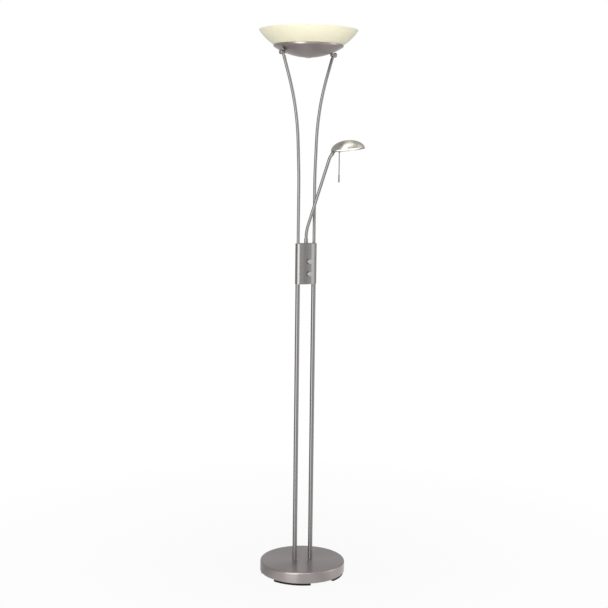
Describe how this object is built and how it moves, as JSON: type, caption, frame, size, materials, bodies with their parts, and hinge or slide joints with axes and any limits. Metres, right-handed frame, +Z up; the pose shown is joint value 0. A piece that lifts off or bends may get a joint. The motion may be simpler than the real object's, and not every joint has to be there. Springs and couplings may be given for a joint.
{
  "type": "torchiere floor lamp with reading light",
  "caption": "Free-standing floor lamp: two poles on a round weighted base carry a tilting uplighter bowl, with a dimmer box and a tilting reading light on a swivelling bent arm.",
  "frame": {"origin": "on the floor, under the centre of the round base", "axes": "+Z up; the two poles stand in the X-Z plane; -Y is the front, where the dimmer knobs are"},
  "size_m": [0.319, 0.3433, 1.8],
  "materials": {
    "satin_steel": "satin, lacquered",
    "bright_steel": "polished",
    "zinc_steel": "zinc plated",
    "cast_iron": "rough, painted black",
    "black_rubber": "matt",
    "cap_metal": "satin paint",
    "dark_plastic": "matt",
    "board_green": "lacquered",
    "white_plastic": "matt",
    "opal_glass": "satin opal, cream",
    "frosted_glass": "frosted",
    "lamp_glass": "clear",
    "bright_aluminium": "bright",
    "lampholder_ceramic": "unglazed, white"
  },
  "bodies": {
    "stand": {"base_cover": "satin_steel", "base_weight": "cast_iron", "base_plate": "zinc_steel", "plate_screws": "zinc_steel", "rubber_pads": "black_rubber", "foot_studs": "zinc_steel", "foot_spacers": "zinc_steel", "foot_nuts": "zinc_steel", "cord_grommet": "black_rubber", "pole_left": "satin_steel", "pole_right": "satin_steel", "top_studs": "zinc_steel", "top_nuts": "zinc_steel", "control_can": "satin_steel", "can_bottom_cap": "cap_metal", "can_top_cap": "cap_metal", "can_screws": "bright_steel", "stem_collars": "zinc_steel", "dimmer_nuts": "zinc_steel", "dimmer_board": "board_green", "board_parts": "dark_plastic", "terminal_block": "white_plastic", "dimmer_upper": "dark_plastic", "dimmer_lower": "dark_plastic", "stem_left": "satin_steel", "stem_right": "satin_steel", "stem_eyes": "satin_steel", "arm_socket": "satin_steel"},
    "arm": {"reading_arm": "satin_steel", "arm_tip": "satin_steel", "arm_retainer": "zinc_steel"},
    "head": {"head_dome": "satin_steel", "head_ring": "satin_steel", "head_glass": "frosted_glass", "head_reflector": "bright_aluminium", "head_socket": "lampholder_ceramic", "head_bulb": "lamp_glass", "knuckle_pin": "bright_steel", "handle_rod": "satin_steel", "handle_tip": "bright_steel", "ring_screws": "bright_steel"},
    "bowl": {"uplight_dish": "satin_steel", "pivot_lugs": "bright_steel", "pivot_bolts": "bright_steel", "friction_washers": "white_plastic", "pivot_caps": "bright_steel", "bowl_glass": "opal_glass", "bowl_spacer": "zinc_steel", "glass_gaskets": "black_rubber", "glass_clamp": "zinc_steel", "centre_nipple": "zinc_steel", "centre_nuts": "zinc_steel", "lamp_bracket": "zinc_steel", "lamp_sockets": "lampholder_ceramic", "tube_bulb": "lamp_glass", "reflector_trough": "bright_aluminium"},
    "upper_knob": {"knob_upper": "satin_steel", "shaft_upper": "zinc_steel"},
    "lower_knob": {"knob_lower": "satin_steel", "shaft_lower": "zinc_steel"}
  },
  "joints": [
    {"name": "arm_swivel", "type": "hinge", "parent": "stand", "child": "arm", "pos_m": [0, 0, 1.114], "axis": [0, 0, 1], "range_deg": [-95, 35]},
    {"name": "head_tilt", "type": "hinge", "parent": "arm", "child": "head", "pos_m": [0.05165, -0.08946, 1.419], "axis": [-0.866, -0.5, 0], "range_deg": [-35, 40]},
    {"name": "bowl_tilt", "type": "hinge", "parent": "stand", "child": "bowl", "pos_m": [0, 0, 1.7255], "axis": [1, 0, 0], "range_deg": [-30, 30]},
    {"name": "upper_knob_turn", "type": "hinge", "parent": "stand", "child": "upper_knob", "pos_m": [0, -0.02, 1.056], "axis": [0, -1, 0], "range_deg": [-140, 140]},
    {"name": "lower_knob_turn", "type": "hinge", "parent": "stand", "child": "lower_knob", "pos_m": [0, -0.02, 1.015], "axis": [0, -1, 0], "range_deg": [-140, 140]}
  ]
}
